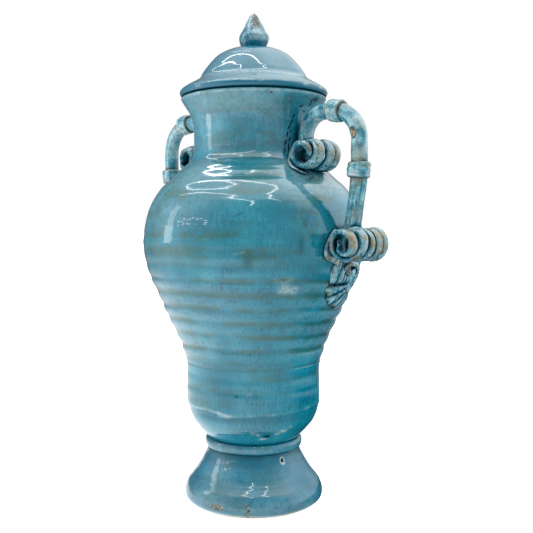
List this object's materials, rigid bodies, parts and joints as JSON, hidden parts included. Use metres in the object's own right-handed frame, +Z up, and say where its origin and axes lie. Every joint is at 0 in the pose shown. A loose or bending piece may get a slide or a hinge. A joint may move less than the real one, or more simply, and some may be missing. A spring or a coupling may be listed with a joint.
{
  "type": "amphora",
  "caption": "Lidded baluster amphora in glazed earthenware: hollow pot on a flared foot, rod handles ending in clay coils and leaves, and a lift-off domed lid with a bud finial.",
  "frame": {"origin": "centre of the standing ring under the foot, on the vessel's axis, at table level", "axes": "+Z up the vessel's axis; the handles lie along +X and -X"},
  "size_m": [0.298, 0.226, 0.5],
  "materials": {
    "glaze_pot": "glossy turquoise-blue glaze, mottled and faintly crazed, brown where it is thin on throwing ridges",
    "glaze_lid": "glossy turquoise-blue glaze, darker where it pools under the brim",
    "glaze_handle": "glossy turquoise-blue glaze over a hand-pulled rod",
    "glaze_coil": "glossy blue-green glaze, ochre on raised edges and dark in the crevices",
    "glaze_leaf": "glossy blue-green glaze, dark in the veins"
  },
  "bodies": {
    "vase": {"belly": "glaze_pot", "neck": "glaze_pot", "foot": "glaze_pot", "foot_bead": "glaze_pot", "rod_right": "glaze_handle", "upper_strap_right": "glaze_handle", "lower_strap_right": "glaze_handle", "upper_coil_right": "glaze_coil", "lower_coil_right": "glaze_coil", "upper_tail_right": "glaze_coil", "lower_tail_right": "glaze_coil", "leaf_right": "glaze_leaf", "leaflet_right": "glaze_leaf", "wrap_right": "glaze_leaf", "rod_left": "glaze_handle", "upper_strap_left": "glaze_handle", "lower_strap_left": "glaze_handle", "upper_coil_left": "glaze_coil", "lower_coil_left": "glaze_coil", "upper_tail_left": "glaze_coil", "lower_tail_left": "glaze_coil", "leaf_left": "glaze_leaf", "leaflet_left": "glaze_leaf", "wrap_left": "glaze_leaf"},
    "lid": {"lid_dome": "glaze_lid", "lid_brim": "glaze_lid", "lid_collar": "glaze_lid", "finial": "glaze_lid"}
  },
  "joints": [
    {"name": "lid_lift", "type": "slide", "parent": "vase", "child": "lid", "axis": [0, 0, 1], "range_m": [0, 0.1]}
  ]
}
